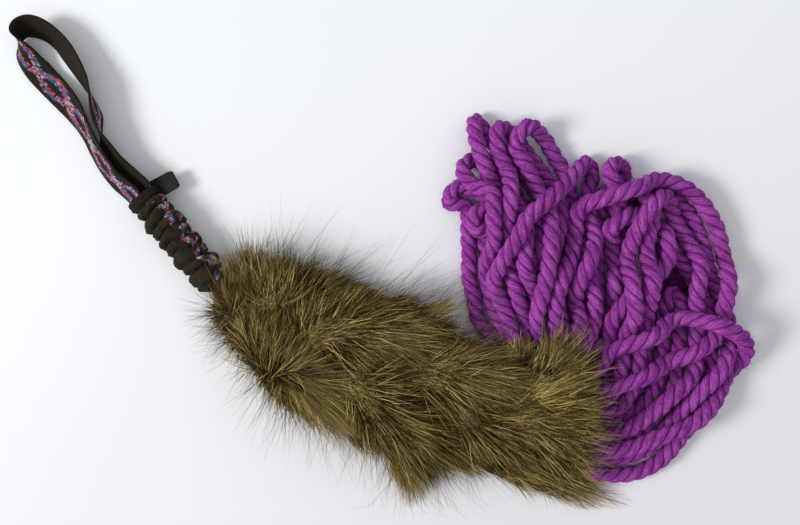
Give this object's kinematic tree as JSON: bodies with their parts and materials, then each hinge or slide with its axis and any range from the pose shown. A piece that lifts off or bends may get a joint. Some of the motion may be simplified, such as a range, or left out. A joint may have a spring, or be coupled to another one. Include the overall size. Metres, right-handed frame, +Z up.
{
  "type": "fur braid tug toy",
  "caption": "Tug toy for dogs: webbing hand loop, ruched bungee, plaited fur body and a mop of twisted yarn loops, lying flat.",
  "frame": {"origin": "flat underside of one fur strand, in the middle of the plait, where it rests on the floor", "axes": "+X from the hand loop towards the yarn mop, +Y to the left of that, +Z up"},
  "size_m": [0.6724, 0.4315, 0.0599],
  "materials": {
    "webbing": "woven, matte",
    "thread": "dense stitching",
    "ribbon": "satin ribbon",
    "elastic": "matte",
    "fur": "long hair",
    "lining": "matte",
    "yarn": "soft twisted yarn"
  },
  "bodies": {
    "braid": {"fur_strand_a": "fur", "fur_strand_b": "fur", "fur_strand_c": "fur", "fur_head_binding": "lining", "fur_tail_binding": "lining", "fur_end_flap": "fur", "fur_tuft_lower": "fur", "fur_tuft_end": "fur"},
    "bungee": {"bungee_neck": "thread", "bungee_sleeve": "webbing", "bungee_core": "elastic"},
    "head": {"handle_bartack": "thread"},
    "grip": {"handle_webbing": "webbing"},
    "tag": {"label_tag": "ribbon"},
    "mop": {"yarn_knot": "thread", "yarn_loop_01": "yarn", "yarn_loop_02": "yarn", "yarn_loop_03": "yarn", "yarn_loop_04": "yarn", "yarn_loop_05": "yarn", "yarn_loop_06": "yarn", "yarn_loop_07": "yarn", "yarn_loop_08": "yarn", "yarn_loop_09": "yarn", "yarn_loop_10": "yarn", "yarn_loop_11": "yarn", "yarn_loop_12": "yarn", "yarn_loop_13": "yarn", "yarn_loop_14": "yarn", "yarn_loop_15": "yarn"}
  },
  "joints": [
    {"name": "handle_swing", "type": "hinge", "parent": "braid", "child": "bungee", "pos_m": [-0.178, 0.058, 0.014], "axis": [0, 0, 1], "range_deg": [-40, 40]},
    {"name": "bungee_stretch", "type": "slide", "parent": "bungee", "child": "head", "axis": [-0.6481, 0.7615, 0], "range_m": [0, 0.1], "stiffness_N_per_m": 250, "deforming": ["bungee_sleeve", "bungee_core"]},
    {"name": "grip_fold", "type": "hinge", "parent": "head", "child": "grip", "pos_m": [-0.2572, 0.15106, 0.02185], "axis": [0.7615, 0.6481, 0], "range_deg": [0, 90]},
    {"name": "label_fold", "type": "hinge", "parent": "head", "child": "tag", "pos_m": [-0.24064, 0.15846, 0.01226], "axis": [0.4695, -0.8829, 0], "range_deg": [0, 70]},
    {"name": "mop_swing", "type": "hinge", "parent": "braid", "child": "mop", "pos_m": [0.112, -0.042, 0], "axis": [0, 0, 1], "range_deg": [-45, 0]}
  ]
}
